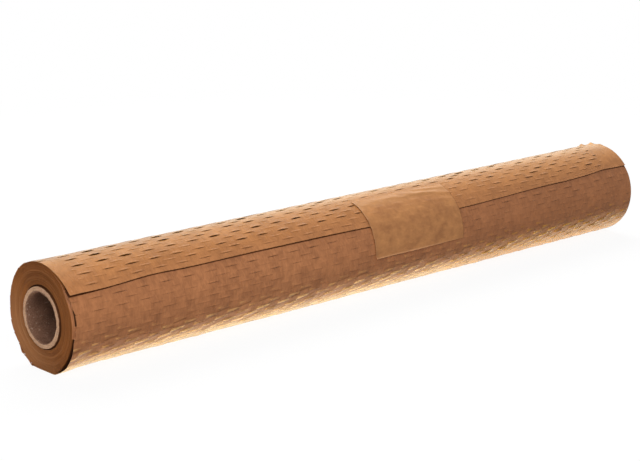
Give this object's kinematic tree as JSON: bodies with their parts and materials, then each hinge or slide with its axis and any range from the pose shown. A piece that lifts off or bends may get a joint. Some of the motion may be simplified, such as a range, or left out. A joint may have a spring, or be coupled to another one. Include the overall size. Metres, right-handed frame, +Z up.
{
  "type": "honeycomb paper roll",
  "caption": "Roll of slit kraft packing paper on a cardboard core, its loose edge held by a plain paper label; the slit paper stretches into a honeycomb cushion.",
  "frame": {"origin": "under the middle of the roll, on the surface that it lies on", "axes": "+X along the core, +Z up, -Y towards the side with the loose edge and the label"},
  "size_m": [0.502, 0.0648, 0.0644],
  "materials": {
    "core_board": "matt grey-beige board, fuzzy at the cut ends",
    "kraft_paper": "matt brown kraft, slit in staggered rows",
    "label_paper": "matt brown kraft, slightly creased"
  },
  "bodies": {
    "root": {"core_tube": "core_board", "honeycomb_paper": "kraft_paper", "closing_label": "label_paper"}
  },
  "joints": []
}
